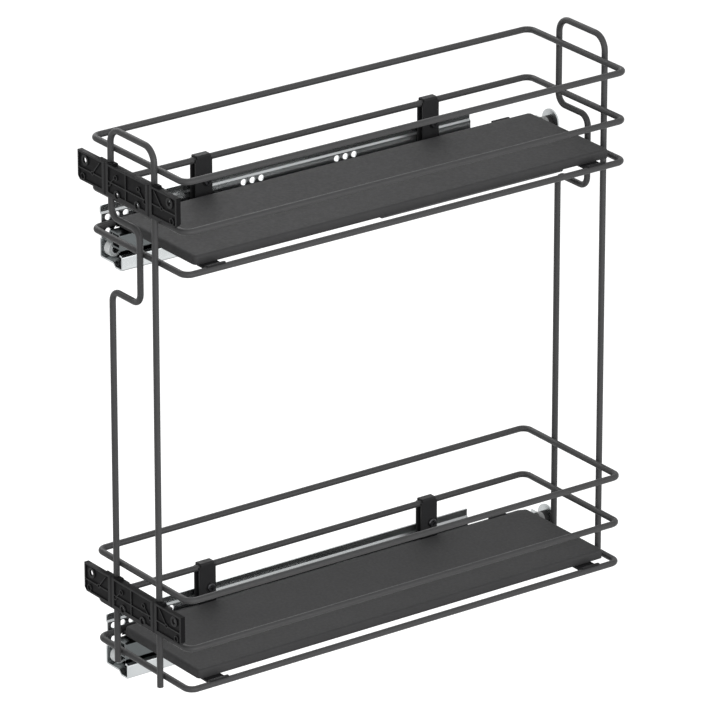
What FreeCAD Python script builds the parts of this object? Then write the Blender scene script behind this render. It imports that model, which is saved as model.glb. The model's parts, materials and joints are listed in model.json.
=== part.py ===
import FreeCAD, Part
import math
import os

import Sketcher

# Pull-out detergent rack for a narrow base cabinet, in millimetres.
# The rack hangs on the left side of the cabinet. X = 0 is the back of the runners' screw web and +X
# leads into the cabinet, Y = 0 and Z = 0 are the front screws of the lower runner, -Y is towards the
# door and +Z is up. Two wire baskets hang on two full-extension roller runners and are joined by a
# wire hoop in front and one behind. Two moulded brackets carry the door.

SIZES = {
    # Wire baskets
    "wire_dia": 5.5,
    "weld_sink": 0.1,
    "ring_length": 450.0,
    "ring_width": 134.0,
    "ring_bend": 7.5,
    "middle_ring_rise": 37.0,
    "top_ring_rise": 80.5,
    "basket_pitch": 370.0,
    "wire_stand": 6.7,
    "ring_lead": 27.0,
    "ring_drop": 4.0,
    # Wire hoops
    "hoop_span": 63.0,
    "hoop_rise": 19.5,
    "hoop_bend": 13.0,
    "hoop_foot": 8.2,
    "jog_shift": 41.0,
    "jog_top": 22.5,
    "jog_base": 42.5,
    "jog_bend": 9.5,
    # Folded sheet of the runners
    "sheet": 1.5,
    "bend_radius": 2.0,
    "rail_lead": 15.0,
    "rail_overhang": 2.0,
    "web_short": 72.0,
    "lip_top": 11.0,
    "lip_base": 4.5,
    "web_set": 1.5,
    "web_base": 17.0,
    "rail_base": 35.0,
    "floor_width": 19.0,
    "floor_step": 3.2,
    "lip_round": 3.0,
    "catch_lip": 3.8,
    # Screw holes on the 32 mm cabinet system
    "screw_dia": 5.5,
    "screw_pitch": 9.0,
    "system_pitch": 32.0,
    "front_pair": 41.0,
    "low_row": 12.4,
    # Rollers and their axles
    "roller_dia": 11.0,
    "rail_roller_dia": 14.0,
    "rail_roller_stand": 0.4,
    "rail_roller_set": 7.5,
    "roller_width": 7.0,
    "roller_edge": 0.8,
    "axle_dia": 4.0,
    "axle_play": 0.05,
    "axle_head": 1.0,
    "track_gap": 0.2,
    "roller_lift": 0.25,
    "side_play": 0.1,
    # Running clearances of the telescopic members
    "slide_gap": 0.75,
    "hold_down": 0.5,
    "lip_play": 1.2,
    "wall_play": 1.4,
    "floor_play": 1.0,
    # Middle and basket members
    "middle_set": 2.0,
    "middle_short": 32.0,
    "basket_rail_set": 1.0,
    "basket_rail_short": 13.0,
    "roller_set": 10.0,
    "nose_cut": 9.0,
    # Hook brackets
    "strap": 1.5,
    "strap_width": 16.7,
    "hook_front": 108.5,
    "hook_rear": 107.2,
    "hook_screw_rise": 17.9,
    "hook_screw_side": 2.7,
    "hook_screw_dia": 4.0,
    "hook_head_dia": 7.8,
    "hook_head": 2.4,
    # Trays and their clips
    "tray_side": 11.5,
    "tray_front": 17.4,
    "tray_rear": 7.0,
    "tray_rise": 9.3,
    "tray_depth": 7.9,
    "tray_sheet": 1.2,
    "tray_corner": 4.0,
    "tray_edge": 2.2,
    "clip_wall": 1.5,
    "clip_width": 18.0,
    "clip_lap": 1.0,
    "clip_set": 30.0,
    # Door brackets
    "bracket_width": 142.5,
    "bracket_height": 27.7,
    "bracket_depth": 6.0,
    "wing_depth": 4.5,
    "screw_skin": 2.0,
    "bracket_skin": 3.25,
    "bracket_chamfer": 3.0,
    "bracket_step": 2.0,
    "bracket_rise": 43.0,
    "pocket_depth": 1.0,
    "rim": 1.6,
    "rib": 1.2,
    "boss_dia": 9.4,
    "door_screw_dia": 5.2,
    "outer_screw": 61.0,
    "inner_screw": 14.65,
    "clamp_depth": 4.5,
    "clamp_screw_dia": 3.5,
    # Soft closing unit and rear stop
    "damper_width": 26.0,
    "damper_height": 24.0,
    "damper_length": 190.0,
    "damper_top": 16.0,
    "slot_width": 5.6,
    "slot_depth": 11.0,
    "pin_dia": 5.0,
    "arch_dia": 23.0,
    "bumper_dia": 12.0,
    "stop_play": 0.3,
}

doc = FreeCAD.newDocument("pull_out_rack")
nodes = {}


class Length:
    """A size in millimetres, with the sheet expression that gives it."""

    def __init__(self, value, text):
        self.value = float(value)
        self.text = text

    def _with(self, other, sign):
        other = as_length(other)
        results = {
            "+": self.value + other.value,
            "-": self.value - other.value,
            "*": self.value * other.value,
        }
        return Length(results[sign], "(%s %s %s)" % (self.text, sign, other.text))

    def __add__(self, other):
        return self._with(other, "+")

    def __radd__(self, other):
        return as_length(other)._with(self, "+")

    def __sub__(self, other):
        return self._with(other, "-")

    def __rsub__(self, other):
        return as_length(other)._with(self, "-")

    def __mul__(self, other):
        return self._with(other, "*")

    def __rmul__(self, other):
        return as_length(other)._with(self, "*")

    def __truediv__(self, other):
        other = as_length(other)
        return Length(self.value / other.value, "(%s / %s)" % (self.text, other.text))

    def __neg__(self):
        return 0 - self


def as_length(size):
    return size if isinstance(size, Length) else Length(size, "(%s)" % repr(float(size)))


class Sheet:
    """The driving sizes as attributes, each a Length bound to its cell."""

    def __init__(self, cells):
        table = doc.addObject("Spreadsheet::Sheet", "Sizes")
        for row, (alias, value) in enumerate(cells.items(), start=1):
            table.set("A%d" % row, alias)
            table.set("B%d" % row, str(value))
            table.setAlias("B%d" % row, alias)
            setattr(self, alias, Length(value, "Sizes.%s" % alias))
        doc.recompute()


d = Sheet(SIZES)

# Stack of the runner members across the cabinet, from the cabinet side inwards
SHEET_BEND = math.tan(math.radians(22.5))
wire_r = d.wire_dia / 2
cabinet_side = -d.web_set
wall_inner = cabinet_side + d.sheet
rack_centre = d.wire_stand + d.ring_width / 2
ring_left = d.wire_stand
strap_in = ring_left + wire_r + d.side_play
strap_out = strap_in + d.strap
basket_wall_in = strap_out + d.sheet
plate_left = basket_wall_in + d.slide_gap
plate_right = plate_left + d.sheet
basket_roller_left = plate_right + 2 * d.hold_down
basket_roller_right = basket_roller_left + d.roller_width
basket_wall_right = basket_roller_right + d.axle_head + 2 * d.slide_gap + d.side_play
basket_rail_right = basket_wall_right + d.sheet
rail_inner = basket_rail_right + d.hold_down + d.catch_lip - d.sheet
rail_right = rail_inner + d.sheet
catch_left = rail_right - d.catch_lip
rail_roller_right = plate_left - 3.4
rail_roller_left = rail_roller_right - d.roller_width
stay_left = rail_roller_left - d.axle_head

# Stack of the runner members downwards from the screw line
roller_r = d.roller_dia / 2
ring_level = -d.ring_drop
roof_top = ring_level - wire_r
roof_under = roof_top - d.sheet
front_roller_z = roof_under - d.track_gap - roller_r
basket_roller_z = front_roller_z - d.roller_lift
track_top = basket_roller_z - roller_r - d.track_gap
track_under = track_top - d.sheet
basket_lip_top = track_under - d.hold_down
basket_lip_under = basket_lip_top - d.sheet
upstand_top = basket_lip_under - d.lip_play
floor_top = d.sheet - d.rail_base
low_floor = -d.rail_base - d.floor_step
rail_roller_r = d.rail_roller_dia / 2
rail_roller_z = floor_top + d.rail_roller_stand + rail_roller_r
left_track_under = rail_roller_z + rail_roller_r + d.track_gap
left_track_top = left_track_under + d.sheet
middle_roller_z = floor_top + d.track_gap + roller_r
plate_top = roof_under - d.slide_gap
plate_under = floor_top + d.floor_play

# Places along the cabinet
ring_front = -d.ring_lead
ring_rear = ring_front + d.ring_length
rail_length = d.ring_length + d.rail_overhang
web_length = rail_length - d.web_short
middle_length = rail_length - d.middle_short
basket_rail_length = rail_length - d.basket_rail_short
rail_front = -d.rail_lead
rail_rear = rail_front + rail_length
middle_front = rail_front + d.middle_set
middle_rear = middle_front + middle_length
basket_rail_front = rail_front + d.basket_rail_set
front_roller_y = middle_front + d.roller_set
rear_roller_y = middle_rear - d.roller_set
hoop_offset = d.wire_dia - d.weld_sink
front_hoop_y = ring_front - hoop_offset
rear_hoop_y = ring_rear + hoop_offset
bracket_front = front_hoop_y - wire_r - d.side_play - d.bracket_skin
pin_y = rear_roller_y + d.roller_set / 3
pin_x = rail_right + d.slot_width + d.hold_down


# Building blocks

def vector(x, y, z=0.0):
    return FreeCAD.Vector(x, y, z)


def new_body(label):
    body = doc.addObject("PartDesign::Body", label)
    body.Label = label
    return body


def sketch_on(body, role, name, offset=None):
    made = body.newObject("Sketcher::SketchObject", name)
    plane = [item for item in body.Origin.OriginFeatures if item.Role == role][0]
    made.AttachmentSupport = (plane, [""])
    made.MapMode = "FlatFace"
    if offset is not None:
        made.AttachmentOffset = FreeCAD.Placement(vector(0, 0, offset.value), FreeCAD.Rotation())
        made.setExpression("AttachmentOffset.Base.z", offset.text)
    return made


def bind(sketch, kind, parts, size):
    size = as_length(size)
    index = sketch.addConstraint(Sketcher.Constraint(kind, *parts, size.value))
    name = "%s%d" % (kind.lower(), index)
    sketch.renameConstraint(index, name)
    sketch.setExpression("Constraints.%s" % name, size.text)


def outline(sketch, points):
    """A closed outline of straight edges through the points."""
    points = [(as_length(x), as_length(y)) for x, y in points]
    corners = [vector(x.value, y.value) for x, y in points]
    count = len(points)
    edges = []
    for index in range(count):
        line = Part.LineSegment(corners[index], corners[(index + 1) % count])
        edges.append(sketch.addGeometry(line, False))
    for index in range(count):
        following = edges[(index + 1) % count]
        sketch.addConstraint(Sketcher.Constraint("Coincident", edges[index], 2, following, 1))
    for edge, (x, y) in zip(edges, points):
        bind(sketch, "DistanceX", (-1, 1, edge, 1), x)
        bind(sketch, "DistanceY", (-1, 1, edge, 1), y)


def rectangle(sketch, left, low, right, top):
    outline(sketch, [(left, low), (right, low), (right, top), (left, top)])


def circle(sketch, x, y, radius):
    x, y, radius = as_length(x), as_length(y), as_length(radius)
    shape = Part.Circle(vector(x.value, y.value), vector(0, 0, 1), radius.value)
    edge = sketch.addGeometry(shape, False)
    bind(sketch, "DistanceX", (-1, 1, edge, 3), x)
    bind(sketch, "DistanceY", (-1, 1, edge, 3), y)
    bind(sketch, "Radius", (edge,), radius)


def wire_route(sketch, legs, bends, ends=None):
    """Upright and level runs joined by tangent bends: legs are ("V", x) or ("H", y).

    Without ends the route closes on itself; with ends it starts and stops at those heights.
    """
    closed = ends is None
    count = len(legs)

    def corner(first, second):
        x = first[1] if first[0] == "V" else second[1]
        y = first[1] if first[0] == "H" else second[1]
        return vector(x.value, y.value)

    turns = range(count if closed else count - 1)
    joints = [corner(legs[index], legs[(index + 1) % count]) for index in turns]
    stops = joints
    if not closed:
        stops = joints + [vector(legs[-1][1].value, ends[1].value)]
    start = joints[-1] if closed else vector(legs[0][1].value, ends[0].value)
    lines = []
    for index, (way, place) in enumerate(legs):
        stop = stops[index]
        along = (stop - start).normalize()
        bend_before = bends[index - 1].value if (closed or index) else 0.0
        bend_after = bends[index].value if (closed or index < count - 1) else 0.0
        run = Part.LineSegment(start + along * bend_before, stop - along * bend_after)
        lines.append(sketch.addGeometry(run, False))
        sketch.addConstraint(Sketcher.Constraint("Vertical" if way == "V" else "Horizontal", lines[-1]))
        bind(sketch, "DistanceX" if way == "V" else "DistanceY", (-1, 1, lines[-1], 1), place)
        start = stop
    if not closed:
        bind(sketch, "DistanceY", (-1, 1, lines[0], 1), ends[0])
        bind(sketch, "DistanceY", (-1, 1, lines[-1], 2), ends[1])
    for index, joint in enumerate(joints):
        before = sketch.Geometry[lines[index]].EndPoint
        after = sketch.Geometry[lines[(index + 1) % count]].StartPoint
        bend = bends[index]
        centre = before + after - joint
        turns_left = (joint - before).cross(after - joint).z > 0
        first, last = (before, after) if turns_left else (after, before)
        angles = [math.atan2(point.y - centre.y, point.x - centre.x) for point in (first, last)]
        if angles[1] < angles[0]:
            angles[1] += 2 * math.pi
        arc = Part.ArcOfCircle(Part.Circle(centre, vector(0, 0, 1), bend.value), angles[0], angles[1])
        made = sketch.addGeometry(arc, False)
        entry, leave = (1, 2) if turns_left else (2, 1)
        following = lines[(index + 1) % count]
        sketch.addConstraint(Sketcher.Constraint("Tangent", lines[index], 2, made, entry))
        sketch.addConstraint(Sketcher.Constraint("Tangent", made, leave, following, 1))
        bind(sketch, "Radius", (made,), bend)


def pad(body, sketch, length, reverse=False, middle=False, name="Pad"):
    made = body.newObject("PartDesign::Pad", name)
    made.Profile = sketch
    made.Reversed = reverse
    if middle:
        made.SideType = "Symmetric"
    length = as_length(length)
    made.Length = length.value
    made.setExpression("Length", length.text)
    return made


def pocket(body, sketch, length=None, reverse=False, name="Pocket"):
    """A pocket of a given depth, or right through both ways when no depth is given."""
    made = body.newObject("PartDesign::Pocket", name)
    made.Profile = sketch
    if length is None:
        made.Type = "ThroughAll"
        made.SideType = "Symmetric"
        return made
    made.Reversed = reverse
    length = as_length(length)
    made.Length = length.value
    made.setExpression("Length", length.text)
    return made


def turn(body, sketch, name="Turn"):
    """The profile turned once about the X axis of the body."""
    made = body.newObject("PartDesign::Revolution", name)
    made.Profile = sketch
    axis = [item for item in body.Origin.OriginFeatures if item.Role == "X_Axis"][0]
    made.ReferenceAxis = (axis, [""])
    made.Angle = 360.0
    return made


def edges_along(shape, axis, corners, near=0.02):
    """Names of the edges parallel to an axis that pass through the given corners."""
    names = []
    others = [index for index in range(3) if index != "XYZ".index(axis)]
    for number, edge in enumerate(shape.Edges, start=1):
        if len(edge.Vertexes) != 2 or edge.Curve.TypeId != "Part::GeomLine":
            continue
        first, last = edge.Vertexes[0].Point, edge.Vertexes[1].Point
        if any(abs(first[index] - last[index]) > near for index in others):
            continue
        for corner in corners:
            gaps = [abs(first[index] - as_length(size).value) for index, size in zip(others, corner)]
            if max(gaps) < near:
                names.append("Edge%d" % number)
    return names


def level_edges(shape, height, near=0.01):
    """Names of the edges that lie level at one height."""
    return ["Edge%d" % number for number, edge in enumerate(shape.Edges, start=1)
            if max(abs(edge.BoundBox.ZMin - height), abs(edge.BoundBox.ZMax - height)) < near]


def round_off(body, feature, names, radius, name="Bends"):
    doc.recompute()
    made = body.newObject("PartDesign::Fillet", name)
    made.Base = (feature, names)
    radius = as_length(radius)
    made.Radius = radius.value
    made.setExpression("Radius", radius.text)
    return made


def place(item, x=0, y=0, z=0):
    for axis, size in zip("xyz", (x, y, z)):
        item.setExpression("Placement.Base.%s" % axis, as_length(size).text)
    return item


def keep(label, item):
    """The finished item is a sub-part: its label names its file."""
    item.Label = label
    nodes[label] = item
    return item


def group(label, items):
    made = doc.addObject("Part::Compound", label)
    made.Links = items
    return keep(label, made)


# Wire work

def wire_ring(label, height):
    """One closed rectangle of wire, lying level."""
    body = new_body(label)
    path = sketch_on(body, "XY_Plane", "Route")
    half = d.ring_width / 2
    zero = as_length(0)
    legs = [("H", zero), ("V", half), ("H", d.ring_length), ("V", -half)]
    wire_route(path, legs, [d.ring_bend] * 4)
    section = sketch_on(body, "YZ_Plane", "Section")
    circle(section, 0, 0, wire_r)
    doc.recompute()
    pipe = body.newObject("PartDesign::AdditivePipe", "Wire")
    pipe.Profile = section
    pipe.Spine = (path, [])
    keep(label, place(body, rack_centre, ring_front, height))


def wire_hoop(label, depth):
    """One inverted U of wire; its left leg steps inwards to pass the upper runner."""
    body = new_body(label)
    path = sketch_on(body, "XZ_Plane", "Route")
    half = d.hoop_span / 2
    upper = d.basket_pitch + ring_level
    foot = ring_level - d.hoop_foot
    top = upper + d.top_ring_rise + d.hoop_rise
    stepped = d.jog_shift - half
    legs = [("V", -half), ("H", upper - d.jog_base), ("V", stepped), ("H", upper + d.jog_top)]
    legs += [("V", -half), ("H", top), ("V", half)]
    bends = [d.jog_bend] * 4 + [d.hoop_bend] * 2
    wire_route(path, legs, bends, ends=(foot, foot))
    section = sketch_on(body, "XY_Plane", "Section", offset=foot)
    circle(section, -half, 0, wire_r)
    doc.recompute()
    pipe = body.newObject("PartDesign::AdditivePipe", "Wire")
    pipe.Profile = section
    pipe.Spine = (path, [])
    keep(label, place(body, rack_centre, depth, 0))


# Runner, cabinet side

def cabinet_rail(label, level):
    """Folded sheet: lip, web with the screw holes, box floor with a step, and an upstand with a lip."""
    body = new_body(label)
    t = d.sheet
    soft = t * SHEET_BEND
    web_top = d.lip_base - d.web_set
    wall_top = -d.web_base - d.web_set
    side = cabinet_side
    level_end = side + d.floor_width
    step = level_end + d.floor_step
    points = [
        (side, d.lip_top), (side, d.lip_base), (0, web_top), (0, -d.web_base),
        (side, wall_top), (side, -d.rail_base), (level_end, -d.rail_base), (step, low_floor),
        (rail_right, low_floor), (rail_right, upstand_top), (catch_left, upstand_top),
        (catch_left, upstand_top - t), (rail_inner, upstand_top - t),
        (rail_inner, low_floor + t), (step + soft, low_floor + t), (level_end + soft, floor_top),
        (wall_inner, floor_top), (wall_inner, wall_top - soft), (t, -d.web_base - soft),
        (t, web_top + soft), (wall_inner, d.lip_base + soft), (wall_inner, d.lip_top),
    ]
    profile = sketch_on(body, "XZ_Plane", "Profile")
    outline(profile, points)
    length = pad(body, profile, rail_length, reverse=True)
    doc.recompute()
    outer = [(side, -d.rail_base), (rail_right, low_floor), (rail_right, upstand_top)]
    folds = round_off(body, length, edges_along(length.Shape, "Y", outer), d.bend_radius)
    doc.recompute()
    inner = [(wall_inner, floor_top), (rail_inner, low_floor + t), (rail_inner, upstand_top - t)]
    bends = round_off(body, folds, edges_along(folds.Shape, "Y", inner), d.bend_radius - t,
                      name="InnerBends")
    doc.recompute()
    nose = edges_along(bends.Shape, "X", [(0, d.lip_top)])
    round_off(body, bends, nose, d.lip_round, name="LipCorner")
    doc.recompute()
    back = sketch_on(body, "YZ_Plane", "WebEnd")
    cut_low = wall_top - soft
    rectangle(back, web_length, cut_low, rail_length + 5, d.lip_top + 5)
    doc.recompute()
    pocket(body, back, name="WebCut")
    doc.recompute()
    holes = sketch_on(body, "YZ_Plane", "ScrewHoles")
    radius = d.screw_dia / 2
    datum = d.rail_lead
    first_group = datum + 4 * d.system_pitch
    second_group = datum + 7 * d.system_pitch
    row = [datum - d.screw_pitch, datum, datum + d.screw_pitch]
    row += [datum + d.front_pair, datum + d.front_pair + d.screw_pitch]
    for start in (first_group, second_group):
        row += [start + number * d.screw_pitch for number in range(3)]
    for along in row:
        circle(holes, along, 0, radius)
    for along in (datum - d.screw_pitch, datum):
        circle(holes, along, -d.low_row, radius)
    doc.recompute()
    pocket(body, holes, name="Drilling")
    keep(label, place(body, 0, rail_front, level))


def axle(label, seat, shoulder_end, shank_end, head_end, along, height):
    """A riveted axle: its foot seats at X = seat, then shoulder, shank and head."""
    body = new_body(label)
    profile = sketch_on(body, "XY_Plane", "Profile")
    shank = d.axle_dia / 2
    shoulder = shank + 1.2
    head = shank + 1.4
    outline(profile, [
        (0, 0), (0, shoulder), (shoulder_end - seat, shoulder), (shoulder_end - seat, shank),
        (shank_end - seat, shank), (shank_end - seat, head), (head_end - seat, head), (head_end - seat, 0),
    ])
    doc.recompute()
    turn(body, profile)
    return place(body, seat, along, height)


def roller(label, left, along, height, rim_r=roller_r):
    """A nylon roller with bevelled rims, bored for its axle."""
    body = new_body(label)
    profile = sketch_on(body, "XY_Plane", "Profile")
    bore = d.axle_dia / 2 + d.axle_play
    width = d.roller_width
    edge = d.roller_edge
    outline(profile, [
        (0, bore), (0, rim_r - edge), (edge, rim_r), (width - edge, rim_r),
        (width, rim_r - edge), (width, bore),
    ])
    doc.recompute()
    turn(body, profile)
    keep(label, place(body, left, along, height))


def middle_rail(label, level):
    """Middle member: an upright plate with a track each side and a foot that hooks under the upstand."""
    body = new_body(label)
    t = d.sheet
    track_left = t + 0.4
    track_right = basket_wall_right - d.hold_down
    foot_right = rail_inner - d.hold_down
    foot_top = upstand_top - t - d.hold_down
    profile = sketch_on(body, "XZ_Plane", "Profile")
    outline(profile, [
        (plate_left, plate_top), (plate_left, left_track_top), (track_left, left_track_top),
        (track_left, left_track_under), (plate_left, left_track_under), (plate_left, plate_under),
        (foot_right, plate_under),
        (foot_right, foot_top), (foot_right - t, foot_top), (foot_right - t, plate_under + t),
        (plate_right, plate_under + t), (plate_right, track_under), (track_right, track_under),
        (track_right, track_top), (plate_right, track_top), (plate_right, plate_top),
    ])
    pad(body, profile, middle_length, reverse=True)
    nose = sketch_on(body, "YZ_Plane", "Nose")
    clear = plate_under - d.bend_radius
    ahead = -d.bend_radius
    outline(nose, [(ahead, track_under), (0, track_under), (d.nose_cut, plate_under), (d.nose_cut, clear),
                   (ahead, clear)])
    doc.recompute()
    pocket(body, nose, name="NoseCut")
    keep(label, place(body, 0, middle_front, level))


def basket_rail(label, level):
    """Basket member: an inverted channel whose right wall hooks under the track."""
    body = new_body(label)
    t = d.sheet
    left_under = left_track_top + d.wall_play
    profile = sketch_on(body, "XZ_Plane", "Profile")
    outline(profile, [
        (strap_out, roof_top), (strap_out, left_under), (basket_wall_in, left_under),
        (basket_wall_in, roof_under), (basket_wall_right, roof_under), (basket_wall_right, basket_lip_top),
        (basket_wall_right - 4 * d.hold_down, basket_lip_top),
        (basket_wall_right - 4 * d.hold_down, basket_lip_under),
        (basket_rail_right, basket_lip_under), (basket_rail_right, roof_top),
    ])
    length = pad(body, profile, basket_rail_length, reverse=True)
    doc.recompute()
    outer = [(strap_out, roof_top), (basket_rail_right, roof_top), (basket_rail_right, basket_lip_under)]
    round_off(body, length, edges_along(length.Shape, "Y", outer), d.bend_radius)
    keep(label, place(body, 0, basket_rail_front, level))


def rear_stop(label, level):
    """Plate across the rear end of the cabinet rail, with an arched ear for the bumper."""
    body = new_body(label)
    ear_x = basket_rail_right - d.arch_dia / 4
    ear_z = ring_level - d.bumper_dia / 4
    shoulder = ear_z - d.hold_down
    profile = sketch_on(body, "XZ_Plane", "Profile")
    bend = d.bend_radius - d.sheet
    outline(profile, [
        (wall_inner, floor_top + bend), (wall_inner + bend, floor_top), (catch_left, floor_top),
        (catch_left, shoulder), (wall_inner, shoulder),
    ])
    plate = pad(body, profile, d.sheet, reverse=True)
    doc.recompute()
    ear = sketch_on(body, "XZ_Plane", "Ear")
    circle(ear, ear_x, ear_z, d.arch_dia / 2)
    pad(body, ear, d.sheet, reverse=True, name="EarPad")
    hole = sketch_on(body, "XZ_Plane", "EarHole")
    circle(hole, ear_x, ear_z, d.bumper_dia / 2)
    doc.recompute()
    pocket(body, hole, name="EarBore")
    keep(label, place(body, 0, rail_rear - d.sheet, level))
    return ear_x, ear_z


def rear_bumper(label, level, ear_x, ear_z):
    """Rubber buffer pressed into the ear; the rear wire of the basket meets it."""
    body = new_body(label)
    contact = ring_rear + wire_r + d.stop_play
    profile = sketch_on(body, "XZ_Plane", "Profile")
    circle(profile, 0, 0, d.bumper_dia / 2)
    pad(body, profile, rail_rear - contact, reverse=True)
    keep(label, place(body, ear_x, contact, level + ear_z))


def damper_housing(label, level):
    """Closed housing of the soft closing unit; its slot is open to the front for the striker."""
    body = new_body(label)
    profile = sketch_on(body, "XZ_Plane", "Profile")
    top = -d.damper_top
    rectangle(profile, 0, top - d.damper_height, d.damper_width, top)
    block = pad(body, profile, d.damper_length, reverse=True)
    doc.recompute()
    corner = [(d.damper_width, top), (d.damper_width, top - d.damper_height)]
    round_off(body, block, edges_along(block.Shape, "Y", corner), 2 * d.bend_radius)
    slot = sketch_on(body, "XZ_Plane", "Slot")
    centre = pin_x - rail_right
    rectangle(slot, centre - d.slot_width / 2, top - d.slot_depth, centre + d.slot_width / 2, top + 5)
    doc.recompute()
    pocket(body, slot, d.damper_length - d.roller_dia / 2, name="SlotCut")
    keep(label, place(body, rail_right, damper_front, level))


def damper_catch(label, level):
    """Sliding catch of the soft closing unit: the striker pin pushes against its fork."""
    body = new_body(label)
    profile = sketch_on(body, "XY_Plane", "Profile")
    half = d.slot_width / 2 - d.side_play
    length = damper_front + d.damper_length - d.roller_dia / 2 - pin_y - d.pin_dia / 2 - 2 * d.stop_play
    rectangle(profile, -half, 0, half, length)
    height = d.slot_depth - 2 * d.side_play
    pad(body, profile, height)
    front = pin_y + d.pin_dia / 2 + d.stop_play
    keep(label, place(body, pin_x, front, level - d.damper_top - d.slot_depth + d.side_play))


def striker(label, level):
    """Arm on the basket member whose pin runs in the slot of the soft closing unit."""
    body = new_body(label)
    arm_under = d.hold_down * 4 - d.damper_top
    profile = sketch_on(body, "XY_Plane", "Arm", offset=arm_under)
    half = d.pin_dia
    rectangle(profile, basket_rail_right, -half, pin_x + half, half)
    pad(body, profile, d.sheet)
    doc.recompute()
    pin = sketch_on(body, "XY_Plane", "Pin", offset=arm_under)
    circle(pin, pin_x, 0, d.pin_dia / 2)
    pad(body, pin, d.slot_depth, reverse=True, name="PinPad")
    keep(label, place(body, 0, pin_y, level))


# Basket fittings

def hook_bracket(label, along, level):
    """Strap folded over the middle ring's left wire; its inner leg runs down to the basket member."""
    body = new_body(label)
    out_left = ring_left - wire_r - d.side_play - d.strap
    in_left = out_left + d.strap
    under = ring_level + d.middle_ring_rise + wire_r + d.side_play
    over = under + d.strap
    outer_foot = ring_level - d.ring_drop
    inner_foot = left_track_top + 2 * d.wall_play
    profile = sketch_on(body, "XZ_Plane", "Profile")
    outline(profile, [
        (out_left, outer_foot), (out_left, over), (strap_out, over), (strap_out, inner_foot),
        (strap_in, inner_foot), (strap_in, under), (in_left, under), (in_left, outer_foot),
    ])
    width = pad(body, profile, d.strap_width, middle=True)
    doc.recompute()
    corners = [(out_left, over), (strap_out, over)]
    round_off(body, width, edges_along(width.Shape, "Y", corners), d.strap + d.side_play)
    doc.recompute()
    relief = sketch_on(body, "YZ_Plane", "Relief")
    edge = d.strap_width / 2
    nick = d.strap
    for side in (-1, 1):
        near, far = side * (edge - nick), side * (edge + nick)
        low, high = (near, far) if side > 0 else (far, near)
        rectangle(relief, low, over - 2 * d.strap, high, over + d.strap)
    doc.recompute()
    pocket(body, relief, name="ReliefCut")
    hole = sketch_on(body, "YZ_Plane", "ScrewHole")
    circle(hole, d.hook_screw_side, ring_level + d.hook_screw_rise, d.hook_screw_dia / 2)
    doc.recompute()
    pocket(body, hole, name="ScrewBore")
    keep(label, place(body, 0, along, level))


def cross_screw(label, head_dia, head, shank_dia, shank):
    """Pan head screw with a cross recess: the head's seat is at X = 0 and the shank leads to -X."""
    body = new_body(label)
    profile = sketch_on(body, "XY_Plane", "Profile")
    crown = head / 3
    outline(profile, [
        (-shank, 0), (-shank, shank_dia / 2), (0, shank_dia / 2), (0, head_dia / 2),
        (head - crown, head_dia / 2), (head, head_dia / 2 - crown), (head, 0),
    ])
    doc.recompute()
    turn(body, profile)
    cross = sketch_on(body, "YZ_Plane", "Cross", offset=head - head / 2)
    arm = head_dia * 0.28
    slit = head_dia * 0.07
    outline(cross, [
        (-slit, -arm), (slit, -arm), (slit, -slit), (arm, -slit), (arm, slit), (slit, slit),
        (slit, arm), (-slit, arm), (-slit, slit), (-arm, slit), (-arm, -slit), (-slit, -slit),
    ])
    doc.recompute()
    pocket(body, cross, head, reverse=True, name="Recess")
    return body


def hook_screws(label, places, level):
    screws = []
    reach = strap_out - (ring_left - wire_r - d.side_play - d.strap)
    for number, along in enumerate(places, start=1):
        screw = cross_screw("%s_%d" % (label, number), d.hook_head_dia, d.hook_head, d.hook_screw_dia, reach)
        across = along + d.hook_screw_side
        screws.append(place(screw, strap_out, across, level + ring_level + d.hook_screw_rise))
    group(label, screws)


def tray(label, level):
    """Folded sheet tray, open below, between the wires of the low ring."""
    body = new_body(label)
    half = d.ring_width / 2 - d.tray_side
    length = d.ring_length - d.tray_front - d.tray_rear
    top = sketch_on(body, "XY_Plane", "Top")
    rectangle(top, -half, 0, half, length)
    block = pad(body, top, d.tray_depth, reverse=True)
    doc.recompute()
    corners = [(x, y) for x in (-half, half) for y in (0, length)]
    rounded = round_off(body, block, edges_along(block.Shape, "Z", corners), d.tray_corner, name="Corners")
    doc.recompute()
    round_off(body, rounded, level_edges(rounded.Shape, 0.0), d.tray_edge, name="TopEdge")
    doc.recompute()
    inside = sketch_on(body, "XY_Plane", "Inside", offset=-d.tray_depth)
    wall = d.tray_sheet
    legs = [("H", wall), ("V", half - wall), ("H", length - wall), ("V", wall - half)]
    wire_route(inside, legs, [d.tray_corner - wall] * 4)
    doc.recompute()
    hollow = pocket(body, inside, d.tray_depth - wall, reverse=True, name="Hollow")
    doc.recompute()
    under = level_edges(hollow.Shape, -wall.value)
    round_off(body, hollow, under, d.tray_edge - wall, name="InnerEdge")
    keep(label, place(body, rack_centre, ring_front + d.tray_front, level + ring_level + d.tray_rise))


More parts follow.
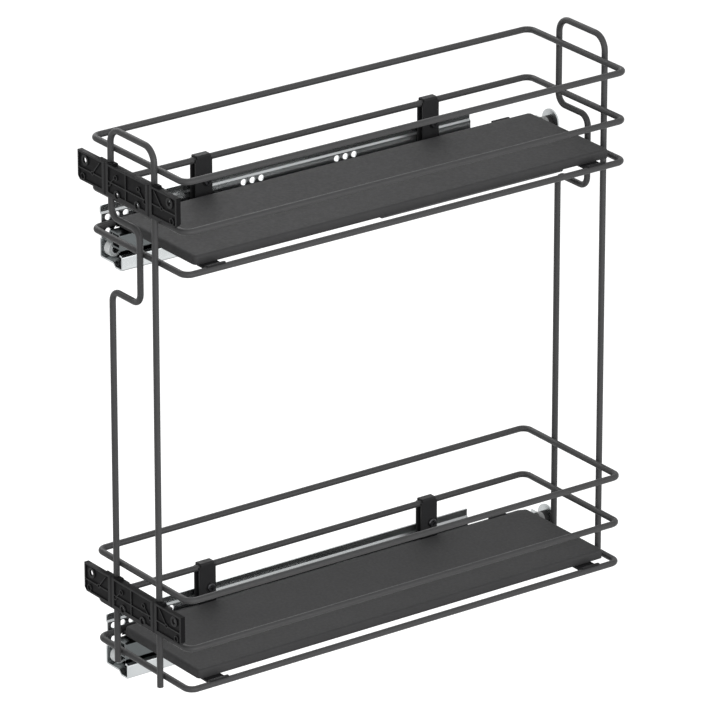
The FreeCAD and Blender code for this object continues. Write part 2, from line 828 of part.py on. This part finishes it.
def tray_clips(label, level):
    """Four moulded clips: each grips the tray's folded edge and saddles the low ring's wire."""
    clips = []
    inner = wire_r + d.side_play
    outer = inner + d.clip_wall
    arm_top = d.tray_rise - d.tray_depth
    arm_under = arm_top - d.clip_wall
    edge = d.tray_side + d.tray_sheet + d.side_play
    ends = {"front": d.clip_set, "rear": d.ring_length - d.clip_set}
    for side, mirrored in (("left", True), ("right", False)):
        for end, along in ends.items():
            body = new_body("%s_%s_%s" % (label, side, end))
            way = 1 if mirrored else -1
            arm = sketch_on(body, "XZ_Plane", "Arm")
            arm_points = [(outer * way, arm_under), (outer * way, arm_top), (edge * way, arm_top),
                          (edge * way, arm_top + 2 * d.clip_wall),
                          ((edge + d.clip_wall) * way, arm_top + 2 * d.clip_wall),
                          ((edge + d.clip_wall) * way, arm_under)]
            inset = (outer - 0.4) * way
            arm_points[0] = (inset, arm_under)
            arm_points[1] = (inset, arm_top)
            outline(arm, arm_points)
            pad(body, arm, d.clip_width, middle=True)
            saddle = sketch_on(body, "XZ_Plane", "Saddle")
            circle(saddle, 0, 0, outer)
            pad(body, saddle, d.clip_width, middle=True, name="SaddlePad")
            bore = sketch_on(body, "XZ_Plane", "Wire")
            circle(bore, 0, 0, inner)
            doc.recompute()
            pocket(body, bore, name="WireBore")
            mouth = sketch_on(body, "XZ_Plane", "Mouth")
            low = arm_under
            lap = -way * d.clip_lap
            far = -way * (outer + 1)
            outline(mouth, [(inner * 0.95 * way, -outer - 1), (inner * 0.95 * way, low), (lap, low),
                            (lap, outer + 1), (far, outer + 1), (far, -outer - 1)])
            doc.recompute()
            pocket(body, mouth, name="MouthCut")
            wire_x = rack_centre - way * d.ring_width / 2
            clips.append(place(body, wire_x, ring_front + along, level + ring_level))
    group(label, clips)


def door_bracket(label, base):
    """Moulded plate with shallow fields, ribs, small rings and screw bosses; its back is relieved."""
    body = new_body(label)
    half = d.bracket_width / 2
    tall = d.bracket_height
    cut = d.bracket_chamfer
    step = d.bracket_step
    step_x = half - 25
    profile = sketch_on(body, "XZ_Plane", "Outline")
    outline(profile, [
        (-half, step + cut), (-half, tall), (half, tall), (half, step + cut), (half - cut, step),
        (step_x + step, step), (step_x, 0), (-step_x, 0), (-step_x - step, step), (cut - half, step),
    ])
    pad(body, profile, d.bracket_depth, reverse=True)
    doc.recompute()
    leg = d.hoop_span / 2
    rim = d.rim
    band = wire_r + d.rib + d.hold_down
    wing_in = leg + band
    wing_out = half - rim
    middle = tall / 2
    thin = d.rib / 2
    outer_z = middle + tall * 0.25
    inner_z = middle - tall * 0.357
    pair = ((d.outer_screw, outer_z), (d.inner_screw, inner_z))
    screws = [(side * x, z) for side in (-1, 1) for x, z in pair]
    backs = sketch_on(body, "XZ_Plane", "WingBacks", offset=-d.bracket_depth)
    for side in (-1, 1):
        ends = sorted((side * (leg + 13), side * (half + rim)), key=lambda size: size.value)
        rectangle(backs, ends[0], -rim, ends[1], tall + rim)
    doc.recompute()
    pocket(body, backs, d.bracket_depth - d.wing_depth, reverse=True, name="WingBackCut")
    reliefs = sketch_on(body, "XZ_Plane", "ScrewReliefs", offset=-d.bracket_depth)
    reach = d.door_screw_dia * 1.6
    for x, z in screws:
        left, right = x - reach, x + reach
        if as_length(z).value > middle.value:
            low, high = z - reach, z + d.door_screw_dia * 0.8
        else:
            low, high = -rim, z + d.door_screw_dia
        rectangle(reliefs, left, low, right, high)
    doc.recompute()
    pocket(body, reliefs, d.bracket_depth - d.screw_skin, reverse=True, name="ScrewReliefCut")
    fields = [(-wing_out, -wing_in), (band - leg, leg - band), (wing_in, wing_out)]
    recess = sketch_on(body, "XZ_Plane", "Fields")
    for left, right in fields:
        rectangle(recess, left, step + rim, right, tall - rim)
    doc.recompute()
    pocket(body, recess, d.pocket_depth, name="Recess")
    floor = -d.pocket_depth
    proud = d.pocket_depth - d.side_play
    rings = [(0.82, 0.4, 2.4), (0.52, 0.68, 2.4), (1.59, 0.46, 2.0), (2.04, 0.22, 3.0)]
    rings = [(side * leg * x, tall * z, radius) for side in (-1, 1) for x, z, radius in rings]
    ribs = sketch_on(body, "XZ_Plane", "LevelRibs", offset=floor)
    for left, right in fields:
        rise = tall * 0.46
        rectangle(ribs, left - thin, rise - thin, right + thin, rise + thin)
    doc.recompute()
    pad(body, ribs, proud, name="LevelRibPad")
    post = sketch_on(body, "XZ_Plane", "PostRib", offset=floor)
    rectangle(post, -leg * 0.06 - thin, step + thin, thin - leg * 0.06, tall - thin)
    doc.recompute()
    pad(body, post, proud, name="PostRibPad")
    braces = sketch_on(body, "XZ_Plane", "Braces", offset=floor)
    slope = d.rib
    for x0, z0, x1, z1 in ((-0.82, 0.4, -0.52, 0.68), (0.82, 0.4, 0.52, 0.68),
                           (-1.59, 0.46, -1.25, 0.9), (1.59, 0.46, 1.25, 0.9)):
        outline(braces, [(leg * x0 - slope / 2, tall * z0), (leg * x0 + slope / 2, tall * z0),
                         (leg * x1 + slope / 2, tall * z1), (leg * x1 - slope / 2, tall * z1)])
    doc.recompute()
    pad(body, braces, proud, name="BracePad")
    bosses = sketch_on(body, "XZ_Plane", "Bosses", offset=floor)
    for x, z in screws:
        boss = d.boss_dia / 2 if as_length(z).value > middle.value else d.boss_dia * 0.44
        circle(bosses, x, z, boss)
    for x, z, radius in rings:
        circle(bosses, x, z, radius)
    doc.recompute()
    pad(body, bosses, proud, name="BossPad")
    drilled = sketch_on(body, "XZ_Plane", "ScrewHoles")
    for x, z in screws:
        circle(drilled, x, z, d.door_screw_dia / 2)
    doc.recompute()
    pocket(body, drilled, name="Drilling")
    cores = sketch_on(body, "XZ_Plane", "BlindHoles")
    for x, z, radius in rings:
        circle(cores, x, z, radius - d.rib * 0.7)
    doc.recompute()
    pocket(body, cores, d.pocket_depth, name="CoreHoles")
    grooves = sketch_on(body, "XY_Plane", "LegGrooves")
    groove_y = front_hoop_y - bracket_front
    for side in (-1, 1):
        circle(grooves, side * leg, groove_y, wire_r + d.side_play)
    doc.recompute()
    pocket(body, grooves, name="Grooves")
    ears = sketch_on(body, "XZ_Plane", "Ears", offset=-d.bracket_depth)
    for side in (-1, 1):
        centre = side * leg + 8
        outline(ears, [(centre - 4, tall - 1), (centre + 4, tall - 1), (centre + 2.5, tall + d.clip_wall),
                       (centre - 2.5, tall + d.clip_wall)])
    doc.recompute()
    pad(body, ears, d.bracket_depth - d.pocket_depth, name="EarPad")
    keep(label, place(body, rack_centre, bracket_front, base))


def door_clamps(label, screw_label, base):
    """A clamp behind each hoop leg, drawn against the bracket by a screw beside the leg."""
    clamps = []
    screws = []
    leg = d.hoop_span / 2
    seat = bracket_front + d.bracket_depth + 0.05
    inset = d.bracket_chamfer
    groove_y = front_hoop_y - seat
    reach = d.clip_wall
    for name, side in (("left", -1), ("right", 1)):
        body = new_body("%s_%s" % (label, name))
        plate = sketch_on(body, "XZ_Plane", "Plate")
        centre = side * leg
        rectangle(plate, centre - 6, inset, centre + 12.5, d.bracket_height - inset)
        block = pad(body, plate, d.clamp_depth, reverse=True)
        doc.recompute()
        groove = sketch_on(body, "XY_Plane", "Groove")
        circle(groove, centre, groove_y, wire_r + d.side_play)
        doc.recompute()
        pocket(body, groove, name="GrooveCut")
        hole = sketch_on(body, "XZ_Plane", "ScrewHole")
        circle(hole, centre + 8, d.bracket_height / 2, d.clamp_screw_dia / 2)
        doc.recompute()
        pocket(body, hole, name="ScrewBore")
        clamps.append(place(body, rack_centre, seat, base))
        head_dia = 2 * d.clamp_screw_dia
        screw = cross_screw("%s_%s" % (screw_label, name), head_dia, d.hook_head, d.clamp_screw_dia,
                            d.clamp_depth)
        screw.Placement.Rotation = FreeCAD.Rotation(vector(0, 0, 1), 90)
        place(screw, rack_centre + centre + 8, seat + d.clamp_depth, base + d.bracket_height / 2)
        screws.append(screw)
    group(label, clamps)
    group(screw_label, screws)


damper_front = pin_y + d.pin_dia / 2 + 6 * d.clip_wall + d.roller_dia - d.damper_length


def build_level(name, level):
    """One basket with its runner, from the cabinet side to the door."""
    basket = level + ring_level
    cabinet_rail("%s_cabinet_rail" % name, level)
    rail_axle = axle("%s_rail_axle" % name, wall_inner, rail_roller_left - d.side_play,
                     rail_roller_right + d.side_play, rail_roller_right + d.side_play + d.axle_head,
                     rail_front + d.rail_roller_set, level + rail_roller_z)
    keep("%s_rail_axle" % name, rail_axle)
    roller("%s_rail_roller" % name, rail_roller_left, rail_front + d.rail_roller_set, level + rail_roller_z,
           rail_roller_r)
    ear_x, ear_z = rear_stop("%s_rear_stop" % name, level)
    rear_bumper("%s_rear_bumper" % name, level, ear_x, ear_z)
    damper_housing("%s_damper_housing" % name, level)
    damper_catch("%s_damper_catch" % name, level)
    middle_rail("%s_middle_rail" % name, level)
    rear_axle = axle("%s_middle_rear_axle" % name, plate_left, rail_roller_right + d.side_play,
                     rail_roller_left - d.side_play, stay_left, rear_roller_y, level + middle_roller_z)
    front_axle = axle("%s_middle_front_axle" % name, plate_right, basket_roller_left - d.side_play,
                      basket_roller_right + d.side_play, basket_roller_right + d.side_play + d.axle_head,
                      front_roller_y, level + front_roller_z)
    group("%s_middle_axles" % name, [rear_axle, front_axle])
    roller("%s_middle_rear_roller" % name, rail_roller_left, rear_roller_y, level + middle_roller_z)
    roller("%s_middle_front_roller" % name, basket_roller_left, front_roller_y, level + front_roller_z)
    basket_rail("%s_basket_rail" % name, level)
    basket_axle = axle("%s_basket_axle" % name, basket_wall_right, basket_roller_right + d.side_play,
                       basket_roller_left - d.side_play, basket_roller_left - 0.6,
                       rear_roller_y, level + basket_roller_z)
    keep("%s_basket_axle" % name, basket_axle)
    roller("%s_basket_roller" % name, basket_roller_left, rear_roller_y, level + basket_roller_z)
    striker("%s_striker" % name, level)
    wire_ring("%s_ring_low" % name, basket)
    wire_ring("%s_ring_middle" % name, basket + d.middle_ring_rise)
    wire_ring("%s_ring_top" % name, basket + d.top_ring_rise)
    hooks = (ring_front + d.hook_front, ring_rear - d.hook_rear)
    hook_bracket("%s_hook_front" % name, hooks[0], level)
    hook_bracket("%s_hook_rear" % name, hooks[1], level)
    hook_screws("%s_hook_screws" % name, hooks, level)
    tray("%s_tray" % name, level)
    tray_clips("%s_tray_clips" % name, level)
    door_bracket("%s_door_bracket" % name, basket + d.bracket_rise)
    door_clamps("%s_door_clamps" % name, "%s_clamp_screws" % name, basket + d.bracket_rise)


def check_and_write():
    """Every object has to be sound before any file is written."""
    doc.recompute()
    for item in doc.Objects:
        if "Invalid" in item.State or "Error" in item.State:
            raise RuntimeError("%s did not recompute: %s" % (item.Label, item.State))
        if item.TypeId == "Sketcher::SketchObject" and not item.FullyConstrained:
            raise RuntimeError("sketch %s has free points" % item.Label)
    for label, item in nodes.items():
        if item.Shape.isNull() or not item.Shape.isValid():
            raise RuntimeError("%s has no sound shape" % label)
    os.makedirs("parts", exist_ok=True)
    for label, item in nodes.items():
        item.Shape.exportStep(os.path.join("parts", "%s.step" % label))


build_level("lower", as_length(0))
build_level("upper", d.basket_pitch)
wire_hoop("front_hoop", front_hoop_y)
wire_hoop("rear_hoop", rear_hoop_y)
check_and_write()
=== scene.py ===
import json
import math

import bpy
from mathutils import Matrix, Vector


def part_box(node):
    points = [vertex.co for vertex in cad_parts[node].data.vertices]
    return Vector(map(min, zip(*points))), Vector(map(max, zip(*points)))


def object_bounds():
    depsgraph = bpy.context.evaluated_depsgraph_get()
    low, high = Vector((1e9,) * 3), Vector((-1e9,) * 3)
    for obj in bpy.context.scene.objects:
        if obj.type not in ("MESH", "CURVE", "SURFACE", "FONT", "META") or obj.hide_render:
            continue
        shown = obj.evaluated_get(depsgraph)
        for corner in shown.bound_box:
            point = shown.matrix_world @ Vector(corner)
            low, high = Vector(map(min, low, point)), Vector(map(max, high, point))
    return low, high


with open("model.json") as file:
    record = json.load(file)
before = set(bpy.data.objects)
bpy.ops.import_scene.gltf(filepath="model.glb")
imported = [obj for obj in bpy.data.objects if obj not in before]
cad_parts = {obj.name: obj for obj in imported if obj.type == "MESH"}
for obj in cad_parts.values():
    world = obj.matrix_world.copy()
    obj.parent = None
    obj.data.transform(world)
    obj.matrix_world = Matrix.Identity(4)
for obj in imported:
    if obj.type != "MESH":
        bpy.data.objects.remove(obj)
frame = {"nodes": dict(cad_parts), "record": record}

start_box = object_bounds()
scene = bpy.context.scene
nodes = frame["nodes"]
scene.view_settings.view_transform = "Standard"


# Camera: the photograph's angle and lens, for a square picture

AZIMUTH, ELEVATION = math.radians(54.06), math.radians(22.29)
CAMERA_AT = Vector((4.43745, -2.96750, 2.42626))
LENS, SENSOR_WIDTH = 345.75, 36
NEAREST, FARTHEST = 0.1, 60


def build_camera():
    camera = bpy.data.objects.new("camera", bpy.data.cameras.new("camera"))
    scene.collection.objects.link(camera)
    scene.camera = camera
    back = Vector((math.sin(AZIMUTH) * math.cos(ELEVATION), -math.cos(AZIMUTH) * math.cos(ELEVATION),
                   math.sin(ELEVATION)))
    right = Vector((0, 0, 1)).cross(back).normalized()
    up = back.cross(right)
    turn = Matrix((right, up, back)).transposed()
    camera.matrix_world = Matrix.Translation(CAMERA_AT) @ turn.to_4x4()
    camera.data.lens = LENS
    camera.data.sensor_width = SENSOR_WIDTH
    camera.data.clip_start, camera.data.clip_end = NEAREST, FARTHEST


build_camera()


# Shader nodes

NOISE_LOW, NOISE_HIGH = 0.3, 0.7
EDGE_SAMPLES = 6


def add_node(tree, kind, inputs=None, **settings):
    """A node whose inputs are linked, where the value is a socket, or set."""
    node = tree.nodes.new(kind)
    for key, value in settings.items():
        setattr(node, key, value)
    for key, value in (inputs or {}).items():
        if isinstance(value, bpy.types.NodeSocket):
            tree.links.new(value, node.inputs[key])
        else:
            node.inputs[key].default_value = value
    return node


def add_math(tree, operation, *values):
    return add_node(tree, "ShaderNodeMath", dict(enumerate(values)), operation=operation).outputs[0]


def shade(color, factor):
    return tuple(min(1.0, c * factor) for c in color)


class Look:
    """A material whose colour, gloss and relief follow noises in the object's own space."""

    def __init__(self, name):
        self.material = bpy.data.materials.new(name)
        self.material.use_nodes = True
        self.tree = self.material.node_tree
        self.shader = self.tree.nodes["Principled BSDF"]
        self.place = self.add("ShaderNodeTexCoord").outputs["Object"]

    def add(self, kind, inputs=None, **settings):
        return add_node(self.tree, kind, inputs, **settings)

    def calculate(self, operation, *values):
        return add_math(self.tree, operation, *values)

    def constant(self, socket, value):
        self.shader.inputs[socket].default_value = value

    def link(self, output, socket):
        self.tree.links.new(output, self.shader.inputs[socket])

    def along(self, axis):
        return self.add("ShaderNodeSeparateXYZ", {"Vector": self.place}).outputs[axis]

    def noise(self, scale, detail=2.0, stretch=None):
        place = self.place
        if stretch:
            place = self.add("ShaderNodeMapping", {"Vector": place, "Scale": stretch}).outputs[0]
        return self.add("ShaderNodeTexNoise", {"Vector": place, "Scale": scale, "Detail": detail}).outputs[0]

    def remap(self, value, start, end, low, high):
        """The range from start to end taken to the range from low to high."""
        inputs = {"Value": value, "From Min": start, "From Max": end, "To Min": low, "To Max": high}
        return self.add("ShaderNodeMapRange", inputs).outputs[0]

    def spread(self, noise, low, high):
        return self.remap(noise, NOISE_LOW, NOISE_HIGH, low, high)

    def blend_colors(self, value, low_color, high_color):
        """The base colour, low_color below NOISE_LOW and high_color above NOISE_HIGH."""
        ramp = self.add("ShaderNodeValToRGB", {"Fac": value})
        ends = zip(ramp.color_ramp.elements, (NOISE_LOW, NOISE_HIGH), (low_color, high_color))
        for element, position, color in ends:
            element.position = position
            element.color = (*color, 1)
        self.link(ramp.outputs[0], "Base Color")

    def mottle(self, noise, color, darkest, lightest):
        """The base colour, between these two shares of color."""
        self.blend_colors(noise, shade(color, darkest), shade(color, lightest))

    def gloss(self, noise, smoothest, roughest):
        self.link(self.spread(noise, smoothest, roughest), "Roughness")

    def relief(self, height, strength, depth, edge=0.0):
        """A fine relief, on edges that look rounded to the radius edge."""
        inputs = {"Height": height, "Strength": strength, "Distance": depth}
        if edge:
            inputs["Normal"] = self.add("ShaderNodeBevel", {"Radius": edge}, samples=EDGE_SAMPLES).outputs[0]
        self.link(self.add("ShaderNodeBump", inputs).outputs[0], "Normal")


# Materials, with noise scales per metre and depths in metres

def powder_coat(name, color, grain, depth, rough, shine, edge=0.0):
    """Sprayed and baked coat: a fine grain, small changes of gloss, faint mottling and soft edges."""
    look = Look(name)
    look.mottle(look.noise(scale=38, detail=3), color, darkest=0.96, lightest=1.04)
    look.gloss(look.noise(scale=grain / 6), smoothest=rough - 0.06, roughest=rough + 0.07)
    look.relief(look.noise(scale=grain), strength=0.5, depth=depth, edge=edge)
    look.constant("Specular IOR Level", shine)
    return look.material


def moulded(name, color, rough, shine, grain=900):
    """Moulded plastic with a fine spark-eroded grain and slight sink marks."""
    look = Look(name)
    look.mottle(look.noise(scale=60), color, darkest=0.9, lightest=1.1)
    look.gloss(look.noise(scale=140, detail=3), smoothest=rough - 0.07, roughest=rough + 0.08)
    look.relief(look.noise(scale=grain, detail=3), strength=0.4, depth=0.00004)
    look.constant("Specular IOR Level", shine)
    return look.material


def ribbed(name, fields, ribs, rough, shine, face, depth, lines, half_line=0.0010, blur=0.0006):
    """Moulded plastic with a ribbed front and painted light: the ribs' tops are painted paler as a highlight,
    and the fields between them darker as painted shade in the recesses.

    The tops lie at face along Y and the fields lie deeper by depth. A dark line runs down the front at each
    of lines along X.
    """
    look = Look(name)
    # Painted highlight on the rib tops and painted shade in the deeper fields, set by depth along Y
    pale = look.remap(look.along("Y"), start=face + 0.5 * depth, end=face, low=0.0, high=1.0)
    for line in lines:
        away = look.calculate("ABSOLUTE", look.calculate("SUBTRACT", look.along("X"), line))
        beside = look.remap(away, start=half_line, end=half_line + blur, low=0.0, high=1.0)
        pale = look.calculate("MULTIPLY", pale, beside)
    scuffs = look.spread(look.noise(scale=420, detail=3), low=-0.15, high=0.15)
    look.blend_colors(look.calculate("ADD", pale, scuffs), fields, ribs)
    look.gloss(look.noise(scale=140, detail=3), smoothest=rough - 0.07, roughest=rough + 0.08)
    look.relief(look.noise(scale=900, detail=3), strength=0.4, depth=0.00004, edge=0.0005)
    look.constant("Specular IOR Level", shine)
    return look.material


def two_part_rubber(name, tip, foot, shine, seam, blur=0.0004):
    """Rubber with a paler tip before seam along Y and a dark foot behind it."""
    look = Look(name)
    speck = look.noise(scale=500)
    behind = look.remap(look.along("Y"), start=seam - blur, end=seam + blur, low=NOISE_LOW, high=NOISE_HIGH)
    look.blend_colors(behind, tip, foot)
    look.gloss(speck, smoothest=0.55, roughest=0.7)
    look.relief(speck, strength=0.3, depth=0.00004)
    look.constant("Specular IOR Level", shine)
    return look.material


def rolled_zinc(name, color, rough, lift=0.22):
    """Zinc-plated rolled steel: streaks along the rolling direction and a faint cloudy plating.

    Two noises multiplied are dark, and lift brings them back to the middle of the colour's range.
    """
    look = Look(name)
    streaks = look.noise(scale=30, detail=4, stretch=(1.0, 0.04, 1.0))
    clouds = look.noise(scale=26, detail=3)
    plating = look.calculate("MULTIPLY_ADD", streaks, clouds, lift)
    look.mottle(plating, color, darkest=0.86, lightest=1.08)
    look.gloss(streaks, smoothest=rough - 0.07, roughest=rough + 0.1)
    look.relief(streaks, strength=0.05, depth=0.00003)
    look.constant("Metallic", 1.0)
    return look.material


def turned(name, color, rough, marks):
    """Turned or headed steel with fine tool marks."""
    look = Look(name)
    look.mottle(look.noise(scale=marks), color, darkest=0.85, lightest=1.05)
    look.gloss(look.noise(scale=marks / 3), smoothest=rough - 0.08, roughest=rough + 0.1)
    look.relief(look.noise(scale=marks), strength=0.2, depth=0.00003)
    look.constant("Metallic", 1.0)
    return look.material


def nylon(name, color):
    """White roller nylon, faintly clouded."""
    look = Look(name)
    look.mottle(look.noise(scale=120), color, darkest=0.94, lightest=1.0)
    look.gloss(look.noise(scale=300), smoothest=0.32, roughest=0.48)
    look.relief(look.noise(scale=700), strength=0.2, depth=0.00003)
    return look.material


ZINC = (0.50, 0.52, 0.525)
# Zinc of the middle and basket rails, darkened as painted shade and a painted dark reflection of the parts
# around them; it is the same zinc as the rest
MEMBER_ZINC_PAINTED_SHADE = (0.105, 0.115, 0.117)
WIRE_COAT = (0.054, 0.054, 0.055)
TRAY_COAT = (0.051, 0.051, 0.052)
BLACK_COAT = (0.022, 0.022, 0.023)
BLACK_SCREW = (0.07, 0.07, 0.075)
WHITE_NYLON = (0.84, 0.87, 0.87)
BLACK_PLASTIC = (0.014, 0.014, 0.015)
GREY_PLASTIC = (0.055, 0.056, 0.058)
RUBBER = (0.02, 0.02, 0.02)
# Door bracket front: painted shade in the recessed fields and a painted highlight on the rib tops
RIB_FIELDS_PAINTED_SHADE = (0.006, 0.006, 0.0065)
RIB_TOPS_PAINTED_HIGHLIGHT = (0.040, 0.040, 0.041)
BUFFER_TIP = (0.30, 0.305, 0.305)
BUFFER_FOOT = (0.012, 0.012, 0.012)

LOOKS = {
    "wire_coat": powder_coat("wire_coat", WIRE_COAT, grain=1500, depth=0.00005, rough=0.45, shine=0.2),
    "tray_coat": powder_coat("tray_coat", TRAY_COAT, grain=2200, depth=0.00005, rough=0.62, shine=0.12),
    "black_coat": powder_coat("black_coat", BLACK_COAT, grain=1300, depth=0.00004, rough=0.45, shine=0.12,
                              edge=0.0007),
    "black_screw": turned("black_screw", BLACK_SCREW, rough=0.38, marks=900),
    "zinc_sheet": rolled_zinc("zinc_sheet", ZINC, rough=0.27),
    "zinc_pin": turned("zinc_pin", ZINC, rough=0.26, marks=1200),
    "white_nylon": nylon("white_nylon", WHITE_NYLON),
    "black_plastic": moulded("black_plastic", BLACK_PLASTIC, rough=0.42, shine=0.1),
    "grey_plastic": moulded("grey_plastic", GREY_PLASTIC, rough=0.5, shine=0.15),
    "rubber": moulded("rubber", RUBBER, rough=0.62, shine=0.3, grain=500),
}


# Each piece gets the look of its slot

slots = {part["node"]: part["material_slot"] for part in frame["record"]["subparts"]}
for name, item in nodes.items():
    slot = slots[name]
    item.data.materials.clear()
    item.data.materials.append(LOOKS[slot])


# On both levels, four kinds of piece get a look of their own in place of their slot's: the door bracket's
# carries a painted highlight and painted shade, and the two rails' members take a zinc darkened as painted
# shade

LEVELS = ("lower", "upper")
FIELD_DEPTH = 0.001
WIRE_RADIUS = 0.00275
TIP_SHARE = 0.4

bracket_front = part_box("upper_door_bracket")[0][1]
hoop_low, hoop_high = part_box("front_hoop")
leg_lines = (hoop_low[0] + WIRE_RADIUS, hoop_high[0] - WIRE_RADIUS)
bumper_low, bumper_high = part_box("upper_rear_bumper")
tip_end = bumper_low[1] + TIP_SHARE * (bumper_high[1] - bumper_low[1])
# A darker copy of the zinc, as painted shade, for the middle and basket rails
member_zinc_painted_shade = rolled_zinc("member_zinc_painted_shade", MEMBER_ZINC_PAINTED_SHADE, rough=0.26)
own_looks = {
    # The door bracket carries a painted highlight on its ribs and painted shade in its fields
    "door_bracket": ribbed("ribbed_plastic_painted_light", RIB_FIELDS_PAINTED_SHADE, RIB_TOPS_PAINTED_HIGHLIGHT, rough=0.42, shine=0.05,
                           face=bracket_front, depth=FIELD_DEPTH, lines=leg_lines),
    "rear_bumper": two_part_rubber("buffer_rubber", BUFFER_TIP, BUFFER_FOOT, shine=0.25, seam=tip_end),
    "middle_rail": member_zinc_painted_shade,
    "basket_rail": member_zinc_painted_shade,
}
for level in LEVELS:
    for part, look in own_looks.items():
        nodes[level + "_" + part].data.materials[0] = look


# Studio: a pale floor below, an even white surround and soft lamps aimed at the middle of the rack

WHITE = (1, 1, 1, 1)
WORLD_LIGHT = 0.3
FLOOR_REACH, FLOOR_DROP = 30.0, 0.30
FLOOR_SEEN = 0.95
FLOOR_LOOK = {"Base Color": (0.35, 0.35, 0.35, 1), "Roughness": 0.9, "Specular IOR Level": 0.1,
              "Emission Color": WHITE}
CENTRE = Vector((0.07, 0.19, 0.21))
LAMPS = {
    "top": {"place": (0.3, 0.1, 2.2), "size": (2.4, 2.4), "power": 11},
    "side": {"place": (2.4, 0.0, 0.5), "size": (3.2, 2.2), "power": 62},
    "front": {"place": (0.1, -2.2, 0.8), "size": (2.0, 1.6), "power": 10},
    "wall side": {"place": (-1.5, 0.5, 1.3), "size": (1.4, 1.4), "power": 12},
}


def flat_white(tree, strength):
    """White for what the camera sees directly or through a reflection, nothing for the light it casts."""
    rays = tree.nodes.new("ShaderNodeLightPath").outputs
    seen = add_math(tree, "MAXIMUM", rays["Is Camera Ray"], rays["Is Glossy Ray"])
    seen = add_math(tree, "MAXIMUM", seen, rays["Is Transmission Ray"])
    return add_math(tree, "MULTIPLY", seen, strength)


def build_world():
    """An even light that the camera sees as white."""
    world = bpy.data.worlds.new("studio")
    scene.world = world
    world.use_nodes = True
    tree = world.node_tree
    background = tree.nodes["Background"]
    background.inputs["Color"].default_value = WHITE
    strength = add_math(tree, "ADD", flat_white(tree, 1.0 - WORLD_LIGHT), WORLD_LIGHT)
    tree.links.new(strength, background.inputs["Strength"])


def build_floor(level):
    reach = FLOOR_REACH
    corners = [(-reach, -reach, level), (reach, -reach, level), (reach, reach, level), (-reach, reach, level)]
    mesh = bpy.data.meshes.new("floor")
    mesh.from_pydata(corners, [], [(0, 1, 2, 3)])
    floor = bpy.data.objects.new("floor", mesh)
    scene.collection.objects.link(floor)
    material = bpy.data.materials.new("floor")
    material.use_nodes = True
    tree = material.node_tree
    shader = tree.nodes["Principled BSDF"]
    for socket, value in FLOOR_LOOK.items():
        shader.inputs[socket].default_value = value
    tree.links.new(flat_white(tree, FLOOR_SEEN), shader.inputs["Emission Strength"])
    mesh.materials.append(material)


def build_lamp(name, place, size, power):
    data = bpy.data.lights.new(name, "AREA")
    data.shape = "RECTANGLE"
    data.size, data.size_y = size
    data.energy = power
    lamp = bpy.data.objects.new(name, data)
    scene.collection.objects.link(lamp)
    lamp.location = place
    lamp.rotation_mode = "QUATERNION"
    lamp.rotation_quaternion = (CENTRE - Vector(place)).to_track_quat("-Z", "Y")


build_world()
build_floor(start_box[0].z - FLOOR_DROP)
for name, settings in LAMPS.items():
    build_lamp(name, **settings)
